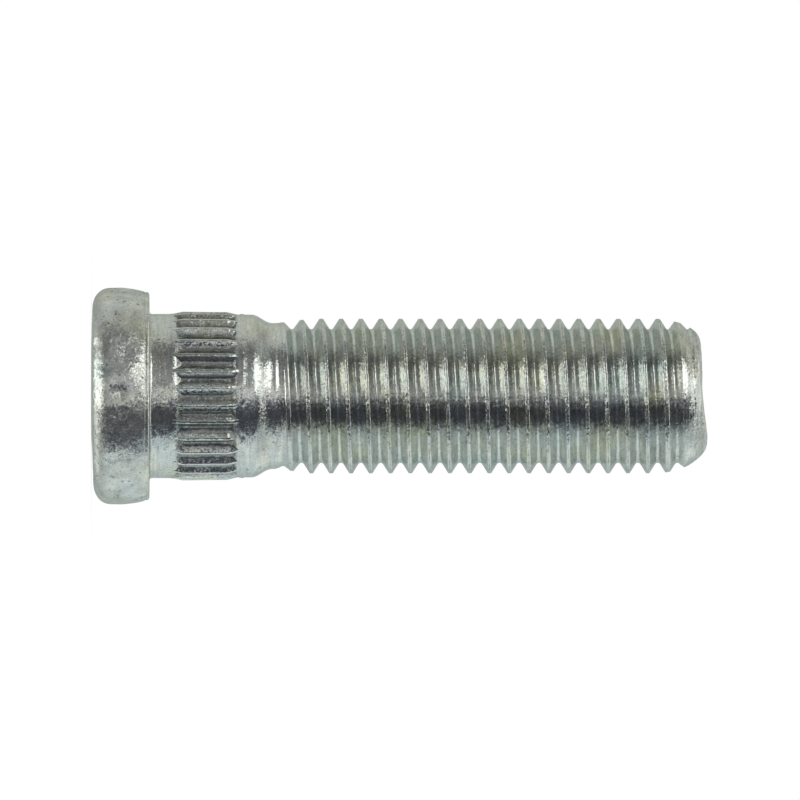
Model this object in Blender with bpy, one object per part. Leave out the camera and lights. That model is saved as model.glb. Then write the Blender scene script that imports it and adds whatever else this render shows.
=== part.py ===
"""Serrated wheel stud with a metric fine thread of 1.5 mm pitch, standing on its round head.

The stud is one forged and rolled piece of zinc-plated steel, so it is one solid. Its axis is Z, its
origin is the centre of the outer head face, and the threaded end points up. Lengths are in metres.
The skin is built from the head upwards, ring by ring: turned rings for the plain stretches, rings
with a tooth pattern for the serration, and one helical strip for the thread.
"""

import math

import bmesh
import bpy

MM = 0.001
TURN = 2 * math.pi

# Stretches along the axis, from the outer head face up
LENGTH = 46.1 * MM
HEAD_HEIGHT = 4.4 * MM
NECK_LENGTH = 1.7 * MM
SERRATION_LENGTH = 5.0 * MM
SHOULDER_LENGTH = 1.0 * MM
TAPER_LENGTH = 1.6 * MM
THREAD_NECK_LENGTH = 0.2 * MM

# Head: the rim is a long shallow arc that draws in towards the seat
HEAD_DIAMETER = 16.4 * MM
FACE_EDGE_RADIUS = 1.5 * MM
RIM_ARC_RADIUS = 7.8 * MM
RIM_ARC_START = 2.0 * MM
SEAT_EDGE_RADIUS = 0.25 * MM

# Body between the head and the thread
NECK_DIAMETER = 12.43 * MM
NECK_FILLET = 0.2 * MM
BODY_TAPER = 0.1 * MM

# Serration: rolling sinks wide grooves and raises narrow teeth between them above the body
TOOTH_COUNT = 30
TOOTH_RISE = 0.18 * MM
TOOTH_RAMP = 0.85 * MM
TOOTH_LAND_SHARE = 0.1
GROOVE_DEPTH = 0.22 * MM
GROOVE_RAMP = 0.65 * MM
GROOVE_FLOOR_SHARE = 0.34
GROOVE_END_FLARE = 0.8

# Thread: a right-hand 60 degree form, rolled on a blank near its pitch diameter
THREAD_DIAMETER = 11.75 * MM
PITCH = 1.5 * MM
CREST_FLAT = 0.25 * MM
ROOT_FLAT = 0.31 * MM
FLANK_ANGLE = math.radians(30)
CREST_RISE = 0.35 * MM
FIRST_CREST = 1.265 * MM
CREST_RUNOUT = 2.7 * MM
ROOT_RUNOUT = 1.25 * MM

# Tip: a quarter ellipse from the crest to the end face, with a lip that the rolling pushed up
TIP_LENGTH = 3.7 * MM
TIP_DROP = 1.7 * MM
TIP_CUP_DEPTH = 0.15 * MM
LIP_HEIGHT = 0.45 * MM
LIP_WIDTH = 0.75 * MM
LIP_ANGLE = math.radians(318)
LIP_SPREAD = math.radians(75)

# Fineness of the facets
HEAD_SIDES = 60
THREAD_SIDES = 36
LARGE_ARC_STEPS = 4
SMALL_ARC_STEPS = 2
TAPER_STEPS = 8

# Heights and radii worked out from the driving sizes
SERRATION_START = HEAD_HEIGHT + NECK_LENGTH
SERRATION_END = SERRATION_START + SERRATION_LENGTH
TAPER_START = SERRATION_END + SHOULDER_LENGTH
THREAD_START = TAPER_START + TAPER_LENGTH + THREAD_NECK_LENGTH
TIP_START = LENGTH - TIP_LENGTH
HEAD_RADIUS = HEAD_DIAMETER / 2
NECK_RADIUS = NECK_DIAMETER / 2
SHOULDER_RADIUS = NECK_RADIUS - BODY_TAPER / 2
CREST_RADIUS = THREAD_DIAMETER / 2
BLANK_RADIUS = CREST_RADIUS - CREST_RISE

# The flanks between the flats set the thread's depth
THREAD_DEPTH = (PITCH - CREST_FLAT - ROOT_FLAT) / 2 / math.tan(FLANK_ANGLE)
ROOT_RADIUS = CREST_RADIUS - THREAD_DEPTH

# The thread ends where the tip's ellipse has drawn in as far as the root, at this angle along it
TIP_ANGLE_AT_ROOT = math.acos(1 - THREAD_DEPTH / TIP_DROP)
THREAD_END = TIP_START + TIP_LENGTH * math.sin(TIP_ANGLE_AT_ROOT)

# Two angles this close are one, and so are two heights or two vertices
SAME_ANGLE = 1e-6
LEAST_STEP = 0.01 * MM
WELD_DISTANCE = 0.0005 * MM


def remove_scene_objects():
    for thing in list(bpy.data.objects):
        bpy.data.objects.remove(thing, do_unlink=True)


def ramp(value, start, length):
    """Rise from 0 to 1 over a length, flat outside it."""
    return min(1.0, max(0.0, (value - start) / length))


def arc(centre_radius, centre_height, radius, start, end, steps):
    """Points of a profile arc as (radius, height), between two angles in degrees."""
    points = []
    for step in range(steps + 1):
        angle = math.radians(start + (end - start) * step / steps)
        points.append((centre_radius + radius * math.cos(angle), centre_height + radius * math.sin(angle)))
    return points


def round_points(sides, radius, height):
    return [(TURN * side / sides, radius, height) for side in range(sides)]


def add_ring(mesh, points):
    """Vertices from (angle, radius, height), kept with their angles as (angle, vertex)."""
    ring = []
    for angle, radius, height in points:
        place = (radius * math.cos(angle), radius * math.sin(angle), height)
        ring.append((angle, mesh.verts.new(place)))
    return ring


def bridge(mesh, lower, upper):
    """Faces between two rings. Where their angles differ, the ring that lags behind moves on."""
    lower = lower + [(lower[0][0] + TURN, lower[0][1]), (math.inf, None)]
    upper = upper + [(upper[0][0] + TURN, upper[0][1]), (math.inf, None)]
    low = 0
    high = 0
    while lower[low + 1][1] or upper[high + 1][1]:
        lead = lower[low + 1][0] - upper[high + 1][0]
        corners = [upper[high][1], lower[low][1]]
        if lead < SAME_ANGLE:
            low += 1
            corners.append(lower[low][1])
        if lead > -SAME_ANGLE:
            high += 1
            corners.append(upper[high][1])
        mesh.faces.new(corners)


def add_rings(mesh, below, rings):
    """Stack rings of points onto the ring below and return the last one."""
    for points in rings:
        ring = add_ring(mesh, points)
        bridge(mesh, below, ring)
        below = ring
    return below


def head_profile():
    """Outer line of the head from its flat face to the neck, as (radius, height)."""
    rim_rise = HEAD_HEIGHT - SEAT_EDGE_RADIUS - RIM_ARC_START
    rim_angle = math.degrees(math.asin(rim_rise / RIM_ARC_RADIUS))
    rim_end_radius = HEAD_RADIUS - RIM_ARC_RADIUS * (1 - math.cos(math.radians(rim_angle)))
    face_edge = (HEAD_RADIUS - FACE_EDGE_RADIUS, FACE_EDGE_RADIUS, FACE_EDGE_RADIUS)
    rim = (HEAD_RADIUS - RIM_ARC_RADIUS, RIM_ARC_START, RIM_ARC_RADIUS)
    seat_edge = (rim_end_radius - SEAT_EDGE_RADIUS, HEAD_HEIGHT - SEAT_EDGE_RADIUS, SEAT_EDGE_RADIUS)
    fillet = (NECK_RADIUS + NECK_FILLET, HEAD_HEIGHT + NECK_FILLET, NECK_FILLET)
    profile = arc(*face_edge, -90, 0, LARGE_ARC_STEPS)
    profile += arc(*rim, 0, rim_angle, LARGE_ARC_STEPS)
    profile += arc(*seat_edge, rim_angle, 90, SMALL_ARC_STEPS)
    profile += arc(*fillet, 270, 180, SMALL_ARC_STEPS)
    return profile


def add_head(mesh):
    rings = [round_points(HEAD_SIDES, radius, height) for radius, height in head_profile()]
    face_edge = add_ring(mesh, rings[0])
    mesh.faces.new([vertex for angle, vertex in reversed(face_edge)])
    return add_rings(mesh, face_edge, rings[1:])


def tooth_ring(height):
    """Points of one toothed ring: two on each tooth's narrow land and two on each groove's floor.

    Teeth rise from nothing at both ends of the serration. A groove begins there almost as wide as
    the space between two teeth, and its sloped end narrows to the floor.
    """
    body = NECK_RADIUS + (SHOULDER_RADIUS - NECK_RADIUS) * ramp(height, SERRATION_START, SERRATION_LENGTH)
    inset = min(height - SERRATION_START, SERRATION_END - height)
    sunk = ramp(inset, 0, GROOVE_RAMP)
    land_radius = body + TOOTH_RISE * ramp(inset, 0, TOOTH_RAMP)
    floor_radius = body - GROOVE_DEPTH * sunk
    spacing = TURN / TOOTH_COUNT
    half_land = spacing * TOOTH_LAND_SHARE / 2
    wall = spacing * (1 - GROOVE_FLOOR_SHARE) / 2 - half_land
    half_tooth = half_land + wall * (1 - GROOVE_END_FLARE * (1 - sunk))
    points = []
    for tooth in range(TOOTH_COUNT):
        middle = spacing * tooth
        points.append((middle - half_land, land_radius, height))
        points.append((middle + half_land, land_radius, height))
        points.append((middle + half_tooth, floor_radius, height))
        points.append((middle + spacing - half_tooth, floor_radius, height))
    return points


def add_serration(mesh, below):
    insets = sorted([0, GROOVE_RAMP, TOOTH_RAMP])
    rings = [tooth_ring(SERRATION_START + inset) for inset in insets]
    rings += [tooth_ring(SERRATION_END - inset) for inset in reversed(insets)]
    return add_rings(mesh, below, rings)


def add_shoulder(mesh, below):
    """The taper from the body to the thread's neck, an S curve that is level at both ends."""
    rings = []
    for step in range(TAPER_STEPS + 1):
        share = step / TAPER_STEPS
        fall = (1 - math.cos(math.pi * share)) / 2
        radius = SHOULDER_RADIUS - (SHOULDER_RADIUS - BLANK_RADIUS) * fall
        rings.append(round_points(HEAD_SIDES, radius, TAPER_START + TAPER_LENGTH * share))
    return add_rings(mesh, below, rings)


def tip_radius(height):
    share = ramp(height, TIP_START, TIP_LENGTH)
    return CREST_RADIUS - TIP_DROP * (1 - math.sqrt(1 - share ** 2))


def thread_radius(height, on_crest):
    """Crests rise and roots deepen from the blank over their run-outs, and the tip cuts both."""
    if on_crest:
        radius = BLANK_RADIUS + CREST_RISE * ramp(height, THREAD_START, CREST_RUNOUT)
    else:
        radius = BLANK_RADIUS - (BLANK_RADIUS - ROOT_RADIUS) * ramp(height, THREAD_START, ROOT_RUNOUT)
    return min(radius, tip_radius(height))


def thread_row(crest_height, offset, on_crest):
    """Points of one edge of the thread over a turn, in which it climbs a pitch.

    What would pass an end of the thread is laid on that end.
    """
    points = []
    for side in range(THREAD_SIDES + 1):
        height = crest_height + offset + PITCH * side / THREAD_SIDES
        if height < THREAD_START + LEAST_STEP:
            height = THREAD_START
        if height > THREAD_END - LEAST_STEP:
            height = THREAD_END
        points.append((TURN * side / THREAD_SIDES, thread_radius(height, on_crest), height))
    return points


def add_thread(mesh, below):
    """One helical strip between two level rings. Welding joins each row to the one a turn later."""
    edges = [
        (-CREST_FLAT / 2, True),
        (CREST_FLAT / 2, True),
        ((PITCH - ROOT_FLAT) / 2, False),
        ((PITCH + ROOT_FLAT) / 2, False),
    ]
    turns = math.ceil((THREAD_END - THREAD_START) / PITCH)
    rows = []
    for turn in range(-2, turns + 2):
        crest_height = THREAD_START + FIRST_CREST + PITCH * turn
        rows += [add_ring(mesh, thread_row(crest_height, *edge)) for edge in edges]
    for row, next_row in zip(rows, rows[1:]):
        for side in range(THREAD_SIDES):
            lower = [row[side][1], row[side + 1][1]]
            upper = [next_row[side + 1][1], next_row[side][1]]
            mesh.faces.new(lower + upper)
    add_rings(mesh, below, [round_points(THREAD_SIDES, BLANK_RADIUS, THREAD_START)])
    return add_ring(mesh, round_points(THREAD_SIDES, ROOT_RADIUS, THREAD_END))


def lip_share(angle):
    """Height of the rolled lip round the tip, from 0 to 1, highest at LIP_ANGLE."""
    away = abs((angle - LIP_ANGLE + math.pi) % TURN - math.pi)
    return (1 + math.cos(math.pi * ramp(away, 0, LIP_SPREAD))) / 2


def lipped_points(radius, height, lift):
    points = round_points(THREAD_SIDES, radius, height)
    return [(angle, radius, height + lift * lip_share(angle)) for angle, radius, height in points]


def add_tip(mesh, below):
    """The rounded end beyond the thread, its lip, and the slightly cupped end face."""
    rings = []
    for step in range(1, LARGE_ARC_STEPS + 1):
        angle = TIP_ANGLE_AT_ROOT + (math.pi / 2 - TIP_ANGLE_AT_ROOT) * step / LARGE_ARC_STEPS
        height = TIP_START + TIP_LENGTH * math.sin(angle)
        lift = LIP_HEIGHT * ramp(height, THREAD_END, LENGTH - THREAD_END) ** 2
        rings.append(lipped_points(CREST_RADIUS - TIP_DROP * (1 - math.cos(angle)), height, lift))
    inner_radius = CREST_RADIUS - TIP_DROP - LIP_WIDTH
    rings.append(round_points(THREAD_SIDES, inner_radius, LENGTH - TIP_CUP_DEPTH))
    end_face = add_rings(mesh, below, rings)
    mesh.faces.new([vertex for angle, vertex in end_face])


def zinc_plated_steel():
    material = bpy.data.materials.new("zinc_plated_steel")
    material.use_nodes = True
    shader = material.node_tree.nodes["Principled BSDF"]
    shader.inputs["Base Color"].default_value = (0.60, 0.63, 0.58, 1)
    shader.inputs["Metallic"].default_value = 1.0
    shader.inputs["Roughness"].default_value = 0.34
    return material


def build_stud():
    mesh = bmesh.new()
    ring = add_head(mesh)
    ring = add_serration(mesh, ring)
    ring = add_shoulder(mesh, ring)
    ring = add_thread(mesh, ring)
    add_tip(mesh, ring)
    bmesh.ops.remove_doubles(mesh, verts=mesh.verts, dist=WELD_DISTANCE)
    data = bpy.data.meshes.new("wheel_stud")
    mesh.to_mesh(data)
    mesh.free()
    data.shade_smooth()
    data.set_sharp_from_angle(angle=math.radians(32))
    data.materials.append(zinc_plated_steel())
    stud = bpy.data.objects.new("wheel_stud", data)
    bpy.context.scene.collection.objects.link(stud)


remove_scene_objects()
build_stud()
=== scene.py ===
"""The wheel stud in full detail: rolled thread, serration and zinc plating.

The stud stands on its head at the origin, axis +Z. One fine mesh takes the place of the solid and
keeps its sizes. Lengths are in metres unless a name or comment says otherwise.
"""

import math

import bmesh
import bpy
import numpy as np
from mathutils import Matrix, Vector, noise


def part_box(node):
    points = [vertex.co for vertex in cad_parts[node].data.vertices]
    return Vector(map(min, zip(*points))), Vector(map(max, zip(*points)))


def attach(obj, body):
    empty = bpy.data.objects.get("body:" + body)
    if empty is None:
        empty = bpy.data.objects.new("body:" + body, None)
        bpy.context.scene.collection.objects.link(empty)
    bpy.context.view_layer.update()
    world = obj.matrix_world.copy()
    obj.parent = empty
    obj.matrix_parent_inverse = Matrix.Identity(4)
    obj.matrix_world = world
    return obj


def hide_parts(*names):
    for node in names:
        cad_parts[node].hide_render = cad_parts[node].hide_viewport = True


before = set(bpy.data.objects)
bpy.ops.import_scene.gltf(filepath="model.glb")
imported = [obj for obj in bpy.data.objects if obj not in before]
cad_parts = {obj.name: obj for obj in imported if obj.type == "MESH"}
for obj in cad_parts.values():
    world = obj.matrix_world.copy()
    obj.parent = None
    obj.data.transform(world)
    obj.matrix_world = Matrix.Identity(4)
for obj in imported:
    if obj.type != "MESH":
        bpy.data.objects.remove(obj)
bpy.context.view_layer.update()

MM = 0.001
TURN = 2 * math.pi
NODE = "wheel_stud"

# Sizes of the solid: its box gives the head and the lip, and the rest are those of the part
FOOT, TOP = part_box(NODE)
HEAD_RADIUS = (TOP[0] - FOOT[0]) / 2
LENGTH = 46.1 * MM
HEAD_HEIGHT = 4.4 * MM
NECK_LENGTH = 1.7 * MM
SERRATION_LENGTH = 5.0 * MM
SHOULDER_LENGTH = 1.0 * MM
TAPER_LENGTH = 1.6 * MM
THREAD_NECK_LENGTH = 0.2 * MM
FACE_EDGE_RADIUS = 1.5 * MM
RIM_ARC_RADIUS = 7.8 * MM
RIM_ARC_START = 2.0 * MM
SEAT_EDGE_RADIUS = 0.25 * MM
NECK_RADIUS = 6.215 * MM
NECK_FILLET = 0.2 * MM
SHOULDER_RADIUS = 6.165 * MM
TOOTH_COUNT = 30
TOOTH_RISE = 0.18 * MM
TOOTH_RAMP = 0.85 * MM
GROOVE_DEPTH = 0.22 * MM
GROOVE_RAMP = 0.52 * MM
CREST_RADIUS = 5.875 * MM
BLANK_RADIUS = 5.525 * MM
ROOT_RADIUS = 5.061 * MM
PITCH = 1.5 * MM
FIRST_CREST = 1.265 * MM
CREST_RUNOUT = 2.7 * MM
ROOT_RUNOUT = 1.25 * MM
TIP_LENGTH = 3.7 * MM
TIP_DROP = 1.7 * MM
TIP_CUP_DEPTH = 0.15 * MM
LIP_HEIGHT = TOP[2] - LENGTH
LIP_WIDTH = 0.75 * MM
LIP_ANGLE = math.radians(325)
LIP_SPREAD = math.radians(63)

# Heights and angles worked out from them
SERRATION_START = HEAD_HEIGHT + NECK_LENGTH
SERRATION_END = SERRATION_START + SERRATION_LENGTH
TAPER_START = SERRATION_END + SHOULDER_LENGTH
THREAD_START = TAPER_START + TAPER_LENGTH + THREAD_NECK_LENGTH
TIP_START = LENGTH - TIP_LENGTH
TIP_ANGLE_AT_ROOT = math.acos(1 - (CREST_RADIUS - ROOT_RADIUS) / TIP_DROP)
THREAD_END = TIP_START + TIP_LENGTH * math.sin(TIP_ANGLE_AT_ROOT)
TOOTH_SPACING = TURN / TOOTH_COUNT

# What forging left on the head: an outer face whose edge draws back slightly, more towards +X, and a
# fine line beside the seat
CROWN_START = 2.5 * MM
CROWN_WIDTH = 4.2 * MM
CROWN_HEIGHT = 0.12 * MM
CROWN_LEAN = 0.4
SEAT_LINE_DEPTH = 0.03 * MM
SEAT_LINE_WIDTH = 0.1 * MM

# Shallow dents in the rim of the head, as (angle in degrees, height, width, depth)
DENTS = [
    (268, 2.05 * MM, 0.5 * MM, 0.25 * MM),
    (256, 1.3 * MM, 0.8 * MM, 0.07 * MM),
    (288, 3.0 * MM, 0.9 * MM, 0.08 * MM),
    (246, 2.6 * MM, 0.9 * MM, 0.08 * MM),
    (40, 2.4 * MM, 0.8 * MM, 0.1 * MM),
    (130, 1.8 * MM, 0.7 * MM, 0.1 * MM),
    (205, 2.9 * MM, 0.9 * MM, 0.08 * MM),
]

# Unevenness all over, as (width of the bumps, height on the body, more on the head, more on the tip)
# in millimetres, and where head and tip pass into the body, as (start, length) in millimetres
UNEVENNESS = [
    (2.6, 0.008, 0.035, 0.03),
    (0.9, 0.003, 0.02, 0.014),
]
HEAD_PASSAGE = (3.9, 0.5)
TIP_PASSAGE = (THREAD_END / MM - 0.3, 0.8)

# Fineness of the skin round the axis: columns of each stretch
HEAD_COLUMNS = 216
SHOULDER_COLUMNS = 240
THREAD_COLUMNS = 150
WELD_DISTANCE = 0.00002 * MM

# Fineness of the skin along the profile: shares of the face and seat with a ring, and steps of arcs
FACE_RINGS = (0, 0.2, 0.35, 0.5, 0.65, 0.8, 0.93)
SEAT_RINGS = (0.35, 0.7)
CUP_RINGS = (0.75, 0.5, 0.25, 0.0)
FACE_EDGE_STEPS = 12
RIM_STEPS = 14
SEAT_EDGE_STEPS = 6
FILLET_STEPS = 5
TIP_STEPS = 14
LIP_STEPS = 8

# Rows from the neck up, as (height up to which they go, distance between them)
SERRATION_ROWS = [
    (SERRATION_START - 0.3 * MM, 0.2 * MM),
    (SERRATION_START + 1.2 * MM, 0.092 * MM),
    (SERRATION_END - 1.2 * MM, 0.4 * MM),
    (SERRATION_END + 0.1 * MM, 0.092 * MM),
    (SERRATION_END + 0.8 * MM, 0.09 * MM),
]
SHOULDER_ROWS_START = SERRATION_END + 0.82 * MM
SHOULDER_ROW_DISTANCE = 0.11 * MM

# Half of a tooth, as (share of the tooth spacing from its middle, share of the depth down to the
# groove's floor): in the full section, and at the groove's sloped end
TOOTH_FORM = [
    (0.0, 0.0),
    (0.055, 0.005),
    (0.08, 0.045),
    (0.108, 0.125),
    (0.295, 0.73),
    (0.35, 0.87),
    (0.42, 0.96),
    (0.5, 1.0),
]
END_FORM = [
    (0.0, 0.0),
    (0.055, 0.02),
    (0.08, 0.05),
    (0.108, 0.145),
    (0.36, 1.0),
    (0.4, 1.0),
    (0.45, 1.0),
    (0.5, 1.0),
]

# At a groove's end the first columns stay on the tooth's top and the others gather towards its edge.
# Beyond the slope the section passes into the full form. The lower ends lie above the serration's.
FIXED_COLUMNS = 3
GATHERED_SHARE = 0.08
ROUNDED_LENGTH = 0.3 * MM
GROOVE_INSET_LOW = 0.2 * MM

# How the grooves differ: shift of each end, factor of the depth, and lean in tooth spacings
GROOVE_SEED = 7
GROOVE_END_SHIFT = 0.06 * MM
GROOVE_DEPTH_FACTORS = (0.85, 1.1)
GROOVE_LEANS = (0.05, 0.35)

# Where rolling pushed metal out of the ends of the grooves: width in tooth spacings, and height of
# the swellings below the grooves as a share of those above
SWELL_OFFSET = 0.3 * MM
SWELL_HEIGHT = 0.085 * MM
SWELL_LENGTH = 0.19 * MM
SWELL_WIDTH = 0.27
SWELL_BELOW = 0.6

# Half of the rolled thread form, as (share of the pitch from the crest line, share of the depth).
# The two sides of the crest fold towards each other and leave a shallow seam between them.
THREAD_FORM = [
    (0.0, 0.95),
    (0.03, 0.975),
    (0.06, 0.992),
    (0.088, 0.952),
    (0.113, 0.89),
    (0.14, 0.81),
    (0.365, 0.155),
    (0.4, 0.075),
    (0.45, 0.018),
]

# Slow changes along the helix, as (size, radians per turn, phase): the crest's wander and half width
# in pitches, and the changes of the seam's depth around its mean
CREST_WANDER = [(0.006, 3.1, 0.0), (0.006, 8.3, 1.0)]
CREST_HALF_WIDTH = 0.13
SEAM_CHANGES = [(0.3, 5.7, 0.0), (0.3, 13.1, 2.0)]
SEAM_MEAN = 0.9


def ramp(value, start, length):
    """Share of the way along a length from its start, from 0 to 1."""
    return np.clip((value - start) / length, 0.0, 1.0)


def smooth(share):
    """Ease a share in and out."""
    return share * share * (3 - 2 * share)


def waves(along, terms):
    """Sum of the (size, rate, phase) waves at a place along the helix."""
    return sum(size * np.sin(rate * along + phase) for size, rate, phase in terms)


def arc(centre_radius, centre_height, radius, start, end, steps):
    """Points of a profile arc as (radius, height), between two angles in degrees."""
    points = []
    for step in range(steps + 1):
        angle = math.radians(start + (end - start) * step / steps)
        points.append((centre_radius + radius * math.cos(angle), centre_height + radius * math.sin(angle)))
    return points


def heights_between(start, end, step):
    """Even heights above the start, up to and including the end."""
    count = max(1, round((end - start) / step))
    return [start + (end - start) * index / count for index in range(1, count + 1)]


def level_row(columns, radius, height):
    """A row as arrays of angle, radius and height, closed by a last column on the first."""
    angle = TURN * np.arange(columns + 1) / columns
    return angle, np.full_like(angle, radius), np.full_like(angle, height)


def head_profile():
    """Outer line of the head from its middle to the neck, as (radius, height)."""
    face_radius = HEAD_RADIUS - FACE_EDGE_RADIUS
    rim_rise = HEAD_HEIGHT - SEAT_EDGE_RADIUS - RIM_ARC_START
    rim_angle = math.degrees(math.asin(rim_rise / RIM_ARC_RADIUS))
    rim_end_radius = HEAD_RADIUS - RIM_ARC_RADIUS * (1 - math.cos(math.radians(rim_angle)))
    seat_radius = rim_end_radius - SEAT_EDGE_RADIUS
    seat_edge_height = HEAD_HEIGHT - SEAT_EDGE_RADIUS
    fillet_radius = NECK_RADIUS + NECK_FILLET
    profile = [(face_radius * share, 0.0) for share in FACE_RINGS]
    profile += arc(face_radius, FACE_EDGE_RADIUS, FACE_EDGE_RADIUS, -90, 0, FACE_EDGE_STEPS)
    rim_middle = HEAD_RADIUS - RIM_ARC_RADIUS
    profile += arc(rim_middle, RIM_ARC_START, RIM_ARC_RADIUS, 0, rim_angle, RIM_STEPS)[1:]
    line_radius = profile[-1][0] - SEAT_LINE_DEPTH
    profile[-1] = (profile[-1][0], seat_edge_height - SEAT_LINE_WIDTH)
    profile.append((line_radius, seat_edge_height - SEAT_LINE_WIDTH / 2))
    profile += arc(seat_radius, seat_edge_height, SEAT_EDGE_RADIUS, rim_angle, 90, SEAT_EDGE_STEPS)
    profile += [(seat_radius + (fillet_radius - seat_radius) * share, HEAD_HEIGHT) for share in SEAT_RINGS]
    profile += arc(fillet_radius, HEAD_HEIGHT + NECK_FILLET, NECK_FILLET, 270, 180, FILLET_STEPS)
    return profile


def head_rows():
    """The turned head, with the edge of its outer face drawn back."""
    rows = []
    for radius, height in head_profile():
        angle, radii, heights = level_row(HEAD_COLUMNS, radius, height)
        share = smooth(ramp(radius, CROWN_START, CROWN_WIDTH)) * (1 - ramp(height, 0, FACE_EDGE_RADIUS))
        heights = heights + CROWN_HEIGHT * (1 + CROWN_LEAN * np.cos(angle)) * share
        rows.append((angle, radii, heights))
    return rows


def groove_jitter():
    """How each groove differs: shift of both ends, depth factor and lean to one side."""
    random = np.random.default_rng(GROOVE_SEED)
    return np.column_stack([
        random.uniform(-GROOVE_END_SHIFT, GROOVE_END_SHIFT, TOOTH_COUNT),
        random.uniform(-GROOVE_END_SHIFT, GROOVE_END_SHIFT, TOOTH_COUNT),
        random.uniform(*GROOVE_DEPTH_FACTORS, TOOTH_COUNT),
        random.uniform(*GROOVE_LEANS, TOOTH_COUNT),
    ])


def tooth_section(sunk, rounded):
    """Columns across one tooth: offsets in tooth spacings, and shares of the depth."""
    offsets = []
    depths = []
    edge = TOOTH_FORM[FIXED_COLUMNS - 1][0]
    for column, (full, sloped) in enumerate(zip(TOOTH_FORM, END_FORM)):
        offset = sloped[0]
        if FIXED_COLUMNS <= column < len(END_FORM) - 1:
            offset = edge + (sloped[0] - edge) * (GATHERED_SHARE + (1 - GATHERED_SHARE) * sunk)
        offsets.append(offset + (full[0] - offset) * rounded)
        depths.append(sloped[1] + (full[1] - sloped[1]) * rounded)
    mirrored = slice(-2, 0, -1)
    left = [-offset for offset in offsets[mirrored]]
    return np.array(left + offsets), np.array(depths[mirrored] + depths)


def end_swelling(height, offsets):
    """Metal pushed up beyond the groove ends, in the middle of each groove."""
    across = np.exp(-((np.abs(offsets) - 0.5) / SWELL_WIDTH) ** 2)
    above = np.exp(-((height - SERRATION_END - SWELL_OFFSET) / SWELL_LENGTH) ** 2)
    below = SWELL_BELOW * np.exp(-((SERRATION_START - height) / SWELL_LENGTH) ** 2)
    return SWELL_HEIGHT * across * (above + below)


def serration_row(height, jitter):
    """One row across all teeth."""
    body = NECK_RADIUS + (SHOULDER_RADIUS - NECK_RADIUS) * ramp(height, SERRATION_START, SERRATION_LENGTH)
    rise = min(height - SERRATION_START, SERRATION_END - height)
    land = body + TOOTH_RISE * ramp(rise, 0, TOOTH_RAMP)
    angles = []
    radii = []
    for tooth, (low_shift, high_shift, depth, lean) in enumerate(jitter):
        low_inset = height - SERRATION_START - GROOVE_INSET_LOW - low_shift
        inset = min(low_inset, SERRATION_END + high_shift - height)
        sunk = smooth(ramp(inset, 0, GROOVE_RAMP))
        rounded = smooth(ramp(inset, GROOVE_RAMP, ROUNDED_LENGTH))
        offsets, depths = tooth_section(sunk, rounded)
        floor = body - GROOVE_DEPTH * depth * sunk
        angles += list((tooth + offsets + lean * (0.25 - offsets ** 2) * sunk) * TOOTH_SPACING)
        radii += list(land + (floor - land) * depths + end_swelling(height, offsets))
    angles.append(angles[0] + TURN)
    radii.append(radii[0])
    return np.array(angles), np.array(radii), np.full(len(radii), height)


def serration_rows():
    """The neck, the serration and the start of the shoulder, all with the teeth's columns."""
    jitter = groove_jitter()
    heights = [HEAD_HEIGHT + NECK_FILLET]
    for end, distance in SERRATION_ROWS:
        heights += heights_between(heights[-1], end, distance)
    return [serration_row(height, jitter) for height in heights[1:]]


def shoulder_rows():
    """The body up to the taper, the S-shaped taper and the thread's neck."""
    rows = []
    for height in heights_between(SHOULDER_ROWS_START, THREAD_START, SHOULDER_ROW_DISTANCE):
        fall = (1 - math.cos(math.pi * ramp(height, TAPER_START, TAPER_LENGTH))) / 2
        radius = SHOULDER_RADIUS - (SHOULDER_RADIUS - BLANK_RADIUS) * fall
        rows.append(level_row(SHOULDER_COLUMNS, radius, height))
    return rows


def tip_radius(height):
    """Radius of the crowned tip, and of the crests below it."""
    share = ramp(height, TIP_START, TIP_LENGTH)
    return CREST_RADIUS - TIP_DROP * (1 - np.sqrt(1 - share ** 2))


def thread_rows():
    """The helical strip: each row climbs a pitch in a turn and meets the row one pitch above it.

    Turns beyond both ends of the thread are pressed flat into its first and last height.
    """
    form = [(-share, depth) for share, depth in reversed(THREAD_FORM[1:])] + THREAD_FORM
    form.append((0.5, 0.0))
    turns = math.ceil((THREAD_END - THREAD_START) / PITCH)
    rows = [level_row(THREAD_COLUMNS, BLANK_RADIUS, THREAD_START)]
    angle = rows[0][0]
    for turn in range(-2, turns + 2):
        along = turn + angle / TURN
        wander = waves(along, CREST_WANDER)
        seam = SEAM_MEAN + waves(along, SEAM_CHANGES)
        for share, depth in form:
            on_crest = max(0.0, 1 - abs(share) / CREST_HALF_WIDTH)
            height = THREAD_START + FIRST_CREST + PITCH * (along + share + wander * on_crest)
            height = np.clip(height, THREAD_START, THREAD_END)
            crest = BLANK_RADIUS + (CREST_RADIUS - BLANK_RADIUS) * ramp(height, THREAD_START, CREST_RUNOUT)
            root = BLANK_RADIUS - (BLANK_RADIUS - ROOT_RADIUS) * ramp(height, THREAD_START, ROOT_RUNOUT)
            fullness = depth if share else 1 - (1 - depth) * seam
            radius = np.minimum(root + (crest - root) * fullness, tip_radius(height))
            rows.append((angle, radius, height))
    return rows


def lip_share(angle):
    """Height of the rolled lip round the tip, from 0 to 1, highest at LIP_ANGLE."""
    away = np.abs((angle - LIP_ANGLE + math.pi) % TURN - math.pi)
    return (1 + np.cos(math.pi * ramp(away, 0, LIP_SPREAD))) / 2


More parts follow.
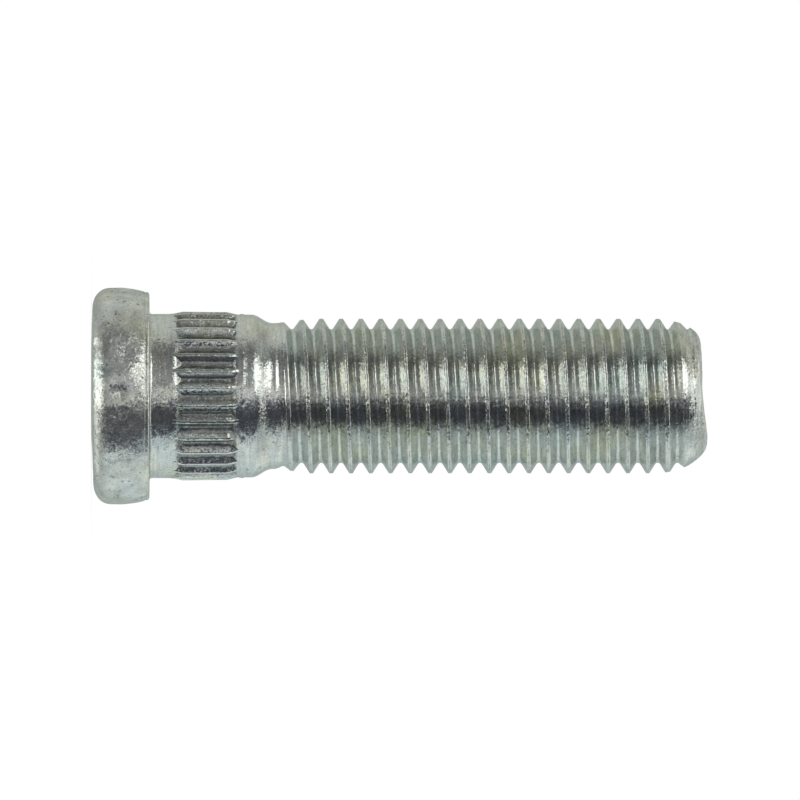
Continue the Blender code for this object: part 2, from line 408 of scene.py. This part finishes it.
def tip_rows():
    """The rounded end beyond the thread, its lip and the slightly cupped end face."""
    profile = []
    for step in range(TIP_STEPS + 1):
        angle = TIP_ANGLE_AT_ROOT + (math.pi / 2 - TIP_ANGLE_AT_ROOT) * step / TIP_STEPS
        height = TIP_START + TIP_LENGTH * math.sin(angle)
        lift = LIP_HEIGHT * ramp(height, THREAD_END, LENGTH - THREAD_END) ** 2
        profile.append((CREST_RADIUS - TIP_DROP * (1 - math.cos(angle)), height, lift))
    end_radius = CREST_RADIUS - TIP_DROP
    for step in range(1, LIP_STEPS + 1):
        cup = smooth(step / LIP_STEPS)
        lift = LIP_HEIGHT * (1 - cup)
        profile.append((end_radius - LIP_WIDTH * step / LIP_STEPS, LENGTH - TIP_CUP_DEPTH * cup, lift))
    inner_radius = end_radius - LIP_WIDTH
    profile += [(inner_radius * share, LENGTH - TIP_CUP_DEPTH, 0.0) for share in CUP_RINGS]
    rows = []
    for radius, height, lift in profile:
        angle, radii, heights = level_row(THREAD_COLUMNS, radius, height)
        rows.append((angle, radii, heights + lift * lip_share(angle)))
    return rows


def add_rows(mesh, rows):
    """Vertices of the rows and the faces between them. Returns the first and the last row."""
    grid = []
    for angle, radius, height in rows:
        places = zip(radius * np.cos(angle), radius * np.sin(angle), height)
        grid.append([mesh.verts.new(place) for place in places])
    for lower, upper in zip(grid, grid[1:]):
        for column in range(len(lower) - 1):
            mesh.faces.new((lower[column], lower[column + 1], upper[column + 1], upper[column]))
    return list(zip(rows[0][0], grid[0])), list(zip(rows[-1][0], grid[-1]))


def bridge(mesh, lower, upper):
    """Triangles between two rows with different columns: the row that lags behind moves on."""
    low = 0
    high = 0
    while low < len(lower) - 1 or high < len(upper) - 1:
        corners = [upper[high][1], lower[low][1]]
        if high == len(upper) - 1 or (low < len(lower) - 1 and lower[low + 1][0] <= upper[high + 1][0]):
            low += 1
            corners.append(lower[low][1])
        else:
            high += 1
            corners.append(upper[high][1])
        mesh.faces.new(corners)


def dented(place):
    """Depth of the dents at one place, both in millimetres."""
    depth = 0.0
    for angle, height, width, deepest in DENTS:
        turn = math.radians(angle)
        middle = Vector((HEAD_RADIUS * math.cos(turn), HEAD_RADIUS * math.sin(turn), height)) / MM
        depth += deepest / MM * math.exp(-(place - middle).length_squared / (width / MM) ** 2)
    return depth


def make_uneven(mesh):
    """Forging and rolling leave the surface a few hundredths out of true."""
    mesh.normal_update()
    shifts = []
    for vertex in mesh.verts:
        place = vertex.co / MM
        on_head = 1 - float(smooth(ramp(place.z, *HEAD_PASSAGE)))
        on_tip = float(smooth(ramp(place.z, *TIP_PASSAGE)))
        shift = 0.0
        for width, body, head, tip in UNEVENNESS:
            shift += (body + head * on_head + tip * on_tip) * noise.noise(place / width)
        if place.z < HEAD_HEIGHT / MM:
            shift -= dented(place)
        shifts.append(shift * MM)
    for vertex, shift in zip(mesh.verts, shifts):
        vertex.co += vertex.normal * shift
        vertex.co.z = max(vertex.co.z, 0.0)


def even_normals(data):
    """Give each vertex the mean normal of its faces by area: narrow faces look like a rounded edge."""
    totals = np.zeros((len(data.vertices), 3))
    for face in data.polygons:
        totals[list(face.vertices)] += np.array(face.normal) * face.area
    totals /= np.linalg.norm(totals, axis=1)[:, None]
    data.normals_split_custom_set_from_vertices(totals.tolist())


def stud_mesh():
    """The whole skin, stretch by stretch from the head up, welded where rows meet."""
    mesh = bmesh.new()
    below = None
    for rows in (head_rows(), serration_rows(), shoulder_rows(), thread_rows(), tip_rows()):
        first, last = add_rows(mesh, rows)
        if below:
            bridge(mesh, below, first)
        below = last
    bmesh.ops.remove_doubles(mesh, verts=mesh.verts, dist=WELD_DISTANCE)
    make_uneven(mesh)
    data = bpy.data.meshes.new("stud")
    mesh.to_mesh(data)
    mesh.free()
    data.shade_smooth()
    even_normals(data)
    return data


class Network:
    """Adds nodes to a tree, so that a material reads as a list of steps.

    A value is a socket to link or a plain number, colour or vector to set.
    """

    def __init__(self, tree):
        self.nodes = tree.nodes
        self.links = tree.links

    def put(self, value, socket):
        if isinstance(value, bpy.types.NodeSocket):
            self.links.new(value, socket)
        else:
            socket.default_value = value

    def math(self, operation, first, second=0.0):
        node = self.nodes.new("ShaderNodeMath")
        node.operation = operation
        self.put(first, node.inputs[0])
        self.put(second, node.inputs[1])
        return node.outputs[0]

    def vector(self, operation, first, second=(0, 0, 0), output="Vector"):
        node = self.nodes.new("ShaderNodeVectorMath")
        node.operation = operation
        self.put(first, node.inputs[0])
        self.put(second, node.inputs[1])
        return node.outputs[output]

    def total(self, *terms):
        """Sum of (value, weight) terms."""
        result = 0.0
        for value, weight in terms:
            result = self.math("ADD", result, self.math("MULTIPLY", value, weight))
        return result

    def weigh(self, values, weights, base=0.0):
        """A base plus the named values by their weights."""
        return self.total((base, 1.0), *[(values[name], weight) for name, weight in weights.items()])

    def spread(self, value, start, end, low=0.0, high=1.0):
        """Ease from low to high as the value goes from start to end, flat outside."""
        node = self.nodes.new("ShaderNodeMapRange")
        node.interpolation_type = "SMOOTHSTEP"
        limits = {"Value": value, "From Min": start, "From Max": end, "To Min": low, "To Max": high}
        for name, limit in limits.items():
            self.put(limit, node.inputs[name])
        return node.outputs["Result"]

    def noise(self, place, scale, detail=2.0, roughness=0.5, distortion=0.0):
        """Noise of mean 0, mostly between -0.3 and 0.3."""
        node = self.nodes.new("ShaderNodeTexNoise")
        settings = {"Vector": place, "Scale": scale, "Detail": detail, "Roughness": roughness}
        for name, setting in settings.items():
            self.put(setting, node.inputs[name])
        node.inputs["Distortion"].default_value = distortion
        return self.math("SUBTRACT", node.outputs["Fac"], 0.5)

    def cells(self, place, scale):
        """A random vector of mean 0 for each small grain of the surface."""
        node = self.nodes.new("ShaderNodeTexVoronoi")
        self.put(place, node.inputs["Vector"])
        self.put(scale, node.inputs["Scale"])
        return self.vector("SUBTRACT", node.outputs["Color"], (0.5, 0.5, 0.5))

    def colours(self, share, stops):
        """Colours blended along (position, colour) stops."""
        node = self.nodes.new("ShaderNodeValToRGB")
        elements = node.color_ramp.elements
        while len(elements) < len(stops):
            elements.new(1.0)
        for element, (position, colour) in zip(elements, stops):
            element.position = position
            element.color = (*colour, 1)
        self.put(share, node.inputs["Fac"])
        return node.outputs["Color"]

    def blend(self, share, first, second, kind="MIX"):
        node = self.nodes.new("ShaderNodeMix")
        node.data_type = "RGBA"
        node.blend_type = kind
        ends = {"Factor_Float": share, "A_Color": first, "B_Color": second}
        for socket in node.inputs:
            if socket.identifier in ends:
                self.put(ends[socket.identifier], socket)
        return node.outputs[2]


# Zinc colours: bluish-green plating, plain grey, and the yellow-green of thin passivation, with the
# tint where the surface turns away, and dirt for specks and cracks, also used for painted shade in the
# crests' seam
MINT = (0.598, 0.666, 0.652)
GREY = (0.645, 0.665, 0.635)
YELLOW = (0.675, 0.684, 0.57)
EDGE_TINT = (0.72, 0.76, 0.74, 1)
# Dark colour of the specks and cracks, and of the painted shade in the crests' seam
DIRT_AND_SEAM_SHADE = (0.11, 0.115, 0.11, 1)
ZINC_STOPS = [(0.15, MINT), (0.5, GREY), (0.85, YELLOW)]

# Soft edges of the zones in millimetres: inside the serration and the thread, on both sides of the
# thread's end, from the seat upwards, and outwards from the neck's and the crests' radius
SERRATION_FADE = 0.4
THREAD_FADE = 1.0
TIP_FADE = 0.5
HEAD_FADE = (-0.1, 0.2)
GROOVE_FADE = (-0.2, 0.08)
CREST_FADE = (-0.16, -0.05)

# What makes up each side of the look, as weights of zones and textures round a mean
TINT = {"patches": 1.3, "mottle": 0.5, "strokes": 1.2}
TINT_MEAN = 0.5
SHADE = {
    "mottle": 0.4,
    "grain": 0.8,
    "rings": 0.8,
    "strokes": 0.6,
    "worn": -0.7,
    # painted shade: the serration's grooves are darkened
    "groove": -0.45,
    "tip": -0.14,
}
SHADE_MEAN = 1.0
ROUGHNESS = {
    "head": 0.14,
    "groove": 0.15,
    "crest": 0.05,
    "tip": 0.27,
    "worn": 0.3,
    "grain": 0.2,
    "mottle": 0.15,
    "marks": 0.15,
}
ROUGHNESS_MEAN = 0.17
RELIEF_MM = {"broad": 0.1, "dents": 0.045, "grain": 0.006, "rings": 0.02, "strokes": 0.02, "marks": -0.01}
SPARKLE = {"head": 0.02, "serration": 0.14, "crest": 0.14, "tip": 0.24}
SPARKLE_MEAN = 0.14
GRAINS_PER_MM = 8.0


def between(net, height, start, end, edge):
    """1 between two heights, with an eased edge inside each."""
    from_start = net.spread(height, start, start + edge)
    to_end = net.spread(height, end - edge, end, 1, 0)
    return net.math("MULTIPLY", from_start, to_end)


def crest_distance(net, parts):
    """Distance from the crest line along the axis, in pitches."""
    turns = net.math("DIVIDE", net.math("ARCTAN2", parts["Y"], parts["X"]), TURN)
    first_crest = (THREAD_START + FIRST_CREST) / MM
    climbed = net.math("DIVIDE", net.math("SUBTRACT", parts["Z"], first_crest), PITCH / MM)
    share = net.math("FRACT", net.math("ADD", net.math("SUBTRACT", climbed, turns), 0.5))
    return net.math("ABSOLUTE", net.math("SUBTRACT", share, 0.5))


def zones(net, place):
    """How far a point in millimetres belongs to the head, serration, grooves, crests and tip."""
    parts = net.nodes.new("ShaderNodeSeparateXYZ")
    net.put(place, parts.inputs[0])
    height = parts.outputs["Z"]
    radius = net.vector("LENGTH", net.vector("MULTIPLY", place, (1, 1, 0)), output="Value")
    thread_end = THREAD_END / MM
    serration = between(net, height, SERRATION_START / MM, SERRATION_END / MM, SERRATION_FADE)
    thread = between(net, height, THREAD_START / MM, thread_end, THREAD_FADE)
    seat_edge = [HEAD_HEIGHT / MM + offset for offset in HEAD_FADE]
    groove_edge = [NECK_RADIUS / MM + offset for offset in GROOVE_FADE]
    crest_edge = [CREST_RADIUS / MM + offset for offset in CREST_FADE]
    return {
        "head": net.spread(height, *seat_edge, 1, 0),
        "serration": serration,
        "groove": net.math("MULTIPLY", serration, net.spread(radius, *groove_edge, 1, 0)),
        "crest": net.math("MULTIPLY", thread, net.spread(radius, *crest_edge)),
        "off_crest": crest_distance(net, parts.outputs),
        "tip": net.spread(height, thread_end - TIP_FADE, thread_end + TIP_FADE),
    }


def textures(net, place, values):
    """The noises that colour, roughness and relief share, each in the zones where it shows."""
    def masked(noise_value, weights, base=0.0):
        return net.math("MULTIPLY", noise_value, net.weigh(values, weights, base))

    round_the_axis = net.vector("MULTIPLY", place, (0.4, 0.4, 4.5))
    along_the_axis = net.vector("MULTIPLY", place, (6, 6, 0.5))
    rings = net.noise(round_the_axis, 1.0, detail=4.0, roughness=0.65)
    dents = net.noise(place, 1.7, detail=3.0, roughness=0.55)
    return {
        "patches": net.noise(place, 0.3, detail=3.0),
        "mottle": net.noise(place, 1.5, detail=3.0),
        "grain": net.noise(place, 9.0, detail=2.0, roughness=0.6),
        "rings": masked(rings, {"head": -1.0, "serration": -1.0, "tip": 1.5}, 1.0),
        "strokes": masked(net.noise(along_the_axis, 1.0, detail=3.0), {"serration": 1.0}),
        "worn": masked(net.noise(place, 0.8, detail=3.0), {"head": 1.0}),
        "broad": masked(net.noise(place, 0.55, detail=1.0), {"head": 1.0, "tip": 0.6}, 0.05),
        "dents": masked(dents, {"head": 1.0, "tip": 1.2}, 0.15),
    }


def specks(net, place, values):
    """Small dark specks, stronger on the head."""
    level = net.spread(net.noise(place, 3.0, detail=3.0, roughness=0.6), 0.11, 0.2)
    return net.math("MULTIPLY", level, net.spread(values["head"], 0, 1, 0.5, 0.8))


def cracks(net, place, values):
    """Fine lines in a few patches, most of them on the head."""
    line = net.noise(place, 1.3, detail=2.0, roughness=0.5, distortion=0.6)
    line = net.spread(net.math("ABSOLUTE", line), 0.0, 0.02, 1, 0)
    patch = net.spread(net.noise(place, 0.9), 0.02, 0.13)
    patch = net.math("MULTIPLY", patch, net.spread(values["head"], 0, 1, 0.1, 0.8))
    return net.math("MULTIPLY", line, patch)


def crest_seam_shade(net, place, values):
    """Painted shade in the seam of the thread's crests, of uneven width and broken up."""
    half_width = net.weigh(values, {"grain": 0.02, "rings": 0.02}, 0.03)
    line = net.spread(net.math("DIVIDE", values["off_crest"], half_width), 0.4, 1.0, 1, 0)
    line = net.math("MULTIPLY", values["crest"], line)
    return net.math("MULTIPLY", line, net.spread(net.noise(place, 1.2), -0.1, 0.15, 0.0, 0.5))


def bumpy_normal(net, place, values):
    """The relief, and grains that each lean their own way and sparkle."""
    bump = net.nodes.new("ShaderNodeBump")
    bump.inputs["Distance"].default_value = MM
    net.put(net.weigh(values, RELIEF_MM), bump.inputs["Height"])
    lean = net.vector("MULTIPLY", net.cells(place, GRAINS_PER_MM), net.weigh(values, SPARKLE, SPARKLE_MEAN))
    return net.vector("NORMALIZE", net.vector("ADD", bump.outputs["Normal"], lean))


def zinc_plating():
    """Zinc with a faint green and yellow tint, fine grains, rolling lines, specks and fine cracks, with
    painted shade in the crests' seam and the serration's grooves.
    """
    material = bpy.data.materials.new("zinc_plating")
    material.use_nodes = True
    net = Network(material.node_tree)
    shader = net.nodes["Principled BSDF"]
    shader.inputs["Metallic"].default_value = 1.0
    shader.inputs["Specular Tint"].default_value = EDGE_TINT
    coordinates = net.nodes.new("ShaderNodeTexCoord")
    place = net.vector("MULTIPLY", coordinates.outputs["Object"], (1 / MM, 1 / MM, 1 / MM))
    values = zones(net, place)
    values.update(textures(net, place, values))
    marks = net.math("MAXIMUM", specks(net, place, values), cracks(net, place, values))
    # The marks take in the painted shade of the crests' seam as well as the specks and cracks
    values["marks"] = net.math("MAXIMUM", marks, crest_seam_shade(net, place, values))
    colour = net.colours(net.weigh(values, TINT, TINT_MEAN), ZINC_STOPS)
    # The shade holds the textures and wear, and the painted shade in the serration's grooves
    colour = net.blend(1.0, colour, net.weigh(values, SHADE, SHADE_MEAN), "MULTIPLY")
    # Specks, cracks and the painted shade of the crests' seam in one dark colour
    colour = net.blend(values["marks"], colour, DIRT_AND_SEAM_SHADE)
    net.put(colour, shader.inputs["Base Color"])
    net.put(net.weigh(values, ROUGHNESS, ROUGHNESS_MEAN), shader.inputs["Roughness"])
    net.put(bumpy_normal(net, place, values), shader.inputs["Normal"])
    return material


def make_stud():
    """The skin with its zinc, in the place of the solid."""
    stud = bpy.data.objects.new("stud", stud_mesh())
    bpy.context.scene.collection.objects.link(stud)
    stud.data.materials.append(zinc_plating())
    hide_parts(NODE)
    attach(stud, "root")


# The camera looks at the middle of the stud, a little from the head's end, turned a quarter so that
# the head is on the left
PICTURE_PIXELS = 800
PIXELS_PER_MM = 13.2
CAMERA_DISTANCE = 800 * MM
CAMERA_YAW = math.radians(1.5)
CAMERA_REACH = 20
SENSOR_WIDTH_MM = 36
VIEW_MIDDLE = Vector((0.3 * MM, 0, 23.38 * MM))


def make_camera():
    """The camera in front of the stud, with the picture's top towards -X."""
    camera = bpy.data.cameras.new("camera")
    camera.sensor_width = SENSOR_WIDTH_MM
    view_width = PICTURE_PIXELS / PIXELS_PER_MM * MM
    camera.lens = SENSOR_WIDTH_MM * CAMERA_DISTANCE / view_width
    camera.clip_end = CAMERA_REACH
    holder = bpy.data.objects.new("camera", camera)
    bpy.context.scene.collection.objects.link(holder)
    right = Vector((0, -math.sin(CAMERA_YAW), math.cos(CAMERA_YAW)))
    up = Vector((-1, 0, 0))
    back = Vector((0, -math.cos(CAMERA_YAW), -math.sin(CAMERA_YAW)))
    turn = Matrix((right, up, back)).transposed().to_4x4()
    holder.matrix_world = Matrix.Translation(VIEW_MIDDLE + back * CAMERA_DISTANCE) @ turn
    bpy.context.scene.camera = holder


def seen_ray(net):
    """1 for rays from the camera, or reflected or passed on by a clear surface, otherwise 0."""
    path = net.nodes.new("ShaderNodeLightPath")
    rays = net.math("ADD", path.outputs["Is Camera Ray"], path.outputs["Is Glossy Ray"])
    rays = net.math("ADD", rays, path.outputs["Is Transmission Ray"])
    return net.math("MINIMUM", rays, 1.0)


# Soft light all round, and the floor's grey, size and brightness where it is seen
WORLD_LIGHT = 0.75
FLOOR_GREY = 0.6
FLOOR_SIZE = 8.0
FLOOR_SEEN = 1.03


def make_world():
    """White where it is seen, and a plain soft light for everything else."""
    world = bpy.data.worlds.new("world")
    bpy.context.scene.world = world
    world.use_nodes = True
    net = Network(world.node_tree)
    background = net.nodes["Background"]
    background.inputs["Color"].default_value = (1, 1, 1, 1)
    strength = net.spread(seen_ray(net), 0, 1, WORLD_LIGHT, 1.0)
    net.put(strength, background.inputs["Strength"])


def make_floor():
    """A pale floor under the head that keeps the stud's soft shadow and is white beyond it."""
    bpy.ops.mesh.primitive_plane_add(size=FLOOR_SIZE, location=(0, 0, 0))
    floor = bpy.context.object
    floor.name = "floor"
    floor.visible_glossy = False
    material = bpy.data.materials.new("floor")
    material.use_nodes = True
    net = Network(material.node_tree)
    shader = net.nodes["Principled BSDF"]
    shader.inputs["Base Color"].default_value = (FLOOR_GREY, FLOOR_GREY, FLOOR_GREY, 1)
    shader.inputs["Roughness"].default_value = 0.9
    shader.inputs["Specular IOR Level"].default_value = 0.0
    shader.inputs["Emission Color"].default_value = (1, 1, 1, 1)
    lift = net.math("MULTIPLY", seen_ray(net), FLOOR_SEEN - FLOOR_GREY * WORLD_LIGHT)
    net.put(lift, shader.inputs["Emission Strength"])
    floor.data.materials.append(material)


# The studio as the metal mirrors it, by bearing in degrees from the camera towards the picture's top:
# grey walls as (bearing, level, tint), darker towards both ends of the axis, and soft boxes as
# (bearing, tilt towards +Z, half width, edge, level)
DOME_RADIUS = 2.0
DOME_SEGMENTS = 48
POLE_LEVEL = 0.62
POLE_FADE_START = 0.2
BOX_TINT = (0.99, 1.0, 0.95)
COOL = (0.92, 1.0, 1.01)
NIGHT = (0.95, 1.0, 1.2)
PLAIN = (1.0, 1.0, 1.0)
WARM = (0.97, 1.0, 0.95)
ROUND_LEVELS = [
    (-180, 0.6, COOL),
    (-140, 0.78, COOL),
    (-80, 0.88, COOL),
    (-65, 0.66, COOL),
    (-57, 0.19, NIGHT),
    (-49, 0.075, NIGHT),
    (-18, 0.075, NIGHT),
    (-9, 0.23, NIGHT),
    (5, 0.95, PLAIN),
    (12, 0.36, PLAIN),
    (42, 0.27, PLAIN),
    (56, 0.2, PLAIN),
    (68, 0.14, PLAIN),
    (82, 0.42, WARM),
    (100, 0.62, WARM),
    (140, 0.7, WARM),
    (180, 0.6, WARM),
]
SOFT_BOXES = [
    (50, 88, 22, 8, 1.3),
    (170, 62, 24, 8, 1.1),
    (36, 38, 21, 6, 1.85),
    (125, 32, 12, 8, 0.45),
    (-130, 28, 12, 8, 1.0),
    (-155, -55, 15, 8, 1.05),
    (-84, -63, 11, 6, 0.32),
    (168, -65, 11, 5, 2.1),
    (129, -83, 11, 5, 2.1),
    (16, -69, 15, 8, 2.1),
]


def make_dome():
    """A dome that only reflections see: the walls and soft boxes of the studio."""
    bpy.ops.mesh.primitive_uv_sphere_add(
        segments=DOME_SEGMENTS, ring_count=DOME_SEGMENTS // 2, radius=DOME_RADIUS
    )
    dome = bpy.context.object
    dome.name = "dome"
    dome.location = (0, 0, LENGTH / 2)
    dome.visible_camera = False
    dome.visible_diffuse = False
    dome.visible_shadow = False
    dome.visible_transmission = False
    material = bpy.data.materials.new("dome")
    material.use_nodes = True
    net = Network(material.node_tree)
    net.nodes.remove(net.nodes["Principled BSDF"])
    coordinates = net.nodes.new("ShaderNodeTexCoord")
    direction = net.vector("NORMALIZE", coordinates.outputs["Object"])
    parts = net.nodes.new("ShaderNodeSeparateXYZ")
    net.put(direction, parts.inputs[0])
    up = net.math("MULTIPLY", parts.outputs["X"], -1.0)
    towards = net.math("MULTIPLY", parts.outputs["Y"], -1.0)
    bearing = net.math("ARCTAN2", up, towards)
    share = net.math("ADD", net.math("DIVIDE", bearing, TURN), 0.5)
    stops = [((angle + 180) / 360, [level * part for part in tint]) for angle, level, tint in ROUND_LEVELS]
    light = net.colours(share, stops)
    tilt = net.math("ABSOLUTE", parts.outputs["Z"])
    fading = net.spread(tilt, POLE_FADE_START, 1.0, 1.0, POLE_LEVEL)
    light = net.blend(1.0, light, fading, "MULTIPLY")
    for box_bearing, box_tilt, width, edge, level in SOFT_BOXES:
        turn = math.radians(box_bearing)
        rise = math.radians(box_tilt)
        centre = (-math.sin(turn) * math.cos(rise), -math.cos(turn) * math.cos(rise), math.sin(rise))
        nearness = net.vector("DOT_PRODUCT", direction, centre, output="Value")
        outer = math.cos(math.radians(width + edge))
        inner = math.cos(math.radians(width - edge))
        colour = (*[level * part for part in BOX_TINT], 1)
        light = net.blend(net.spread(nearness, outer, inner), light, colour)
    emission = net.nodes.new("ShaderNodeEmission")
    net.put(light, emission.inputs["Color"])
    net.put(emission.outputs[0], net.nodes["Material Output"].inputs["Surface"])
    dome.data.materials.append(material)


bpy.context.scene.view_settings.view_transform = "Standard"
make_camera()
make_world()
make_floor()
make_dome()
make_stud()
